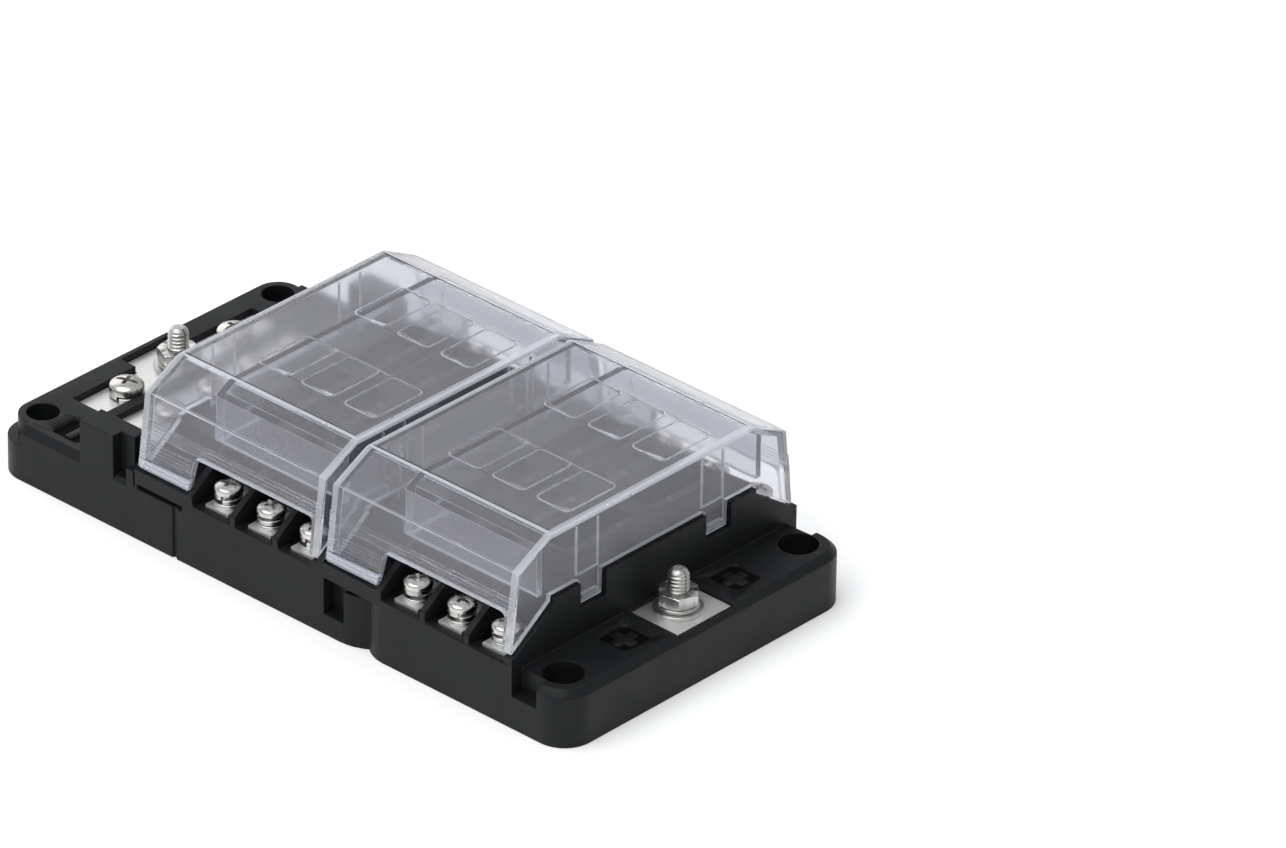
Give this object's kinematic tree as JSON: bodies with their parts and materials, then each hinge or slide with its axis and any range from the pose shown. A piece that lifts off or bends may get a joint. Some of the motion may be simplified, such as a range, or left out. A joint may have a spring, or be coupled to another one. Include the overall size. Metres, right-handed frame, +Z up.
{
  "type": "fuse block",
  "caption": "Marine blade fuse block with clear lift-off covers, screw terminals along both sides, a positive stud and a common negative bus.",
  "frame": {"origin": "centre of the underside of the base", "axes": "+X along the length towards the positive stud, +Y across to one row of load terminals, +Z up out of the covers"},
  "size_m": [0.1636, 0.085, 0.0396],
  "materials": {
    "black_moulding": "fine satin moulding",
    "back_insulator": "plain sheet",
    "clear_cover": "clear, slightly smoky",
    "tinned_bus": "bright tin plate",
    "tinned_clip": "tin plate",
    "steel_screw": "nickel plate",
    "steel_washer": "zinc plate",
    "steel_stud": "plain stainless",
    "steel_nut": "bright plate",
    "lamp_red": "tinted lens"
  },
  "bodies": {
    "base": {"base_housing": "black_moulding", "contact_deck": "black_moulding", "bay_walls_front": "black_moulding", "bay_walls_back": "black_moulding", "fuse_sockets_left": "black_moulding", "fuse_sockets_right": "black_moulding", "back_plate": "back_insulator", "back_plate_screws": "steel_screw", "positive_bus_bar": "tinned_bus", "negative_bus_plate": "tinned_bus", "positive_stud": "steel_stud", "positive_flat_washer": "steel_washer", "positive_spring_washer": "steel_washer", "positive_nut": "steel_nut", "negative_stud": "steel_stud", "negative_flat_washer": "steel_washer", "negative_spring_washer": "steel_washer", "negative_nut": "steel_nut", "load_flat_washers": "steel_washer", "load_spring_washers": "steel_washer", "load_screws": "steel_screw", "negative_small_flat_washers": "steel_washer", "negative_small_spring_washers": "steel_washer", "negative_small_screws": "steel_screw", "negative_large_spring_washers": "steel_washer", "negative_large_screws": "steel_screw", "load_terminal_01": "tinned_clip", "load_terminal_02": "tinned_clip", "load_terminal_03": "tinned_clip", "load_terminal_04": "tinned_clip", "load_terminal_05": "tinned_clip", "load_terminal_06": "tinned_clip", "load_terminal_07": "tinned_clip", "load_terminal_08": "tinned_clip", "load_terminal_09": "tinned_clip", "load_terminal_10": "tinned_clip", "load_terminal_11": "tinned_clip", "load_terminal_12": "tinned_clip", "line_clip_01": "tinned_clip", "line_clip_02": "tinned_clip", "line_clip_03": "tinned_clip", "line_clip_04": "tinned_clip", "line_clip_05": "tinned_clip", "line_clip_06": "tinned_clip", "line_clip_07": "tinned_clip", "line_clip_08": "tinned_clip", "line_clip_09": "tinned_clip", "line_clip_10": "tinned_clip", "line_clip_11": "tinned_clip", "line_clip_12": "tinned_clip", "fuse_lamps": "lamp_red"},
    "left_lid": {"cover_left": "clear_cover"},
    "right_lid": {"cover_right": "clear_cover"}
  },
  "joints": [
    {"name": "left_lid_lift", "type": "slide", "parent": "base", "child": "left_lid", "axis": [0, 0, 1], "range_m": [0, 0.03]},
    {"name": "right_lid_lift", "type": "slide", "parent": "base", "child": "right_lid", "axis": [0, 0, 1], "range_m": [0, 0.03]}
  ]
}
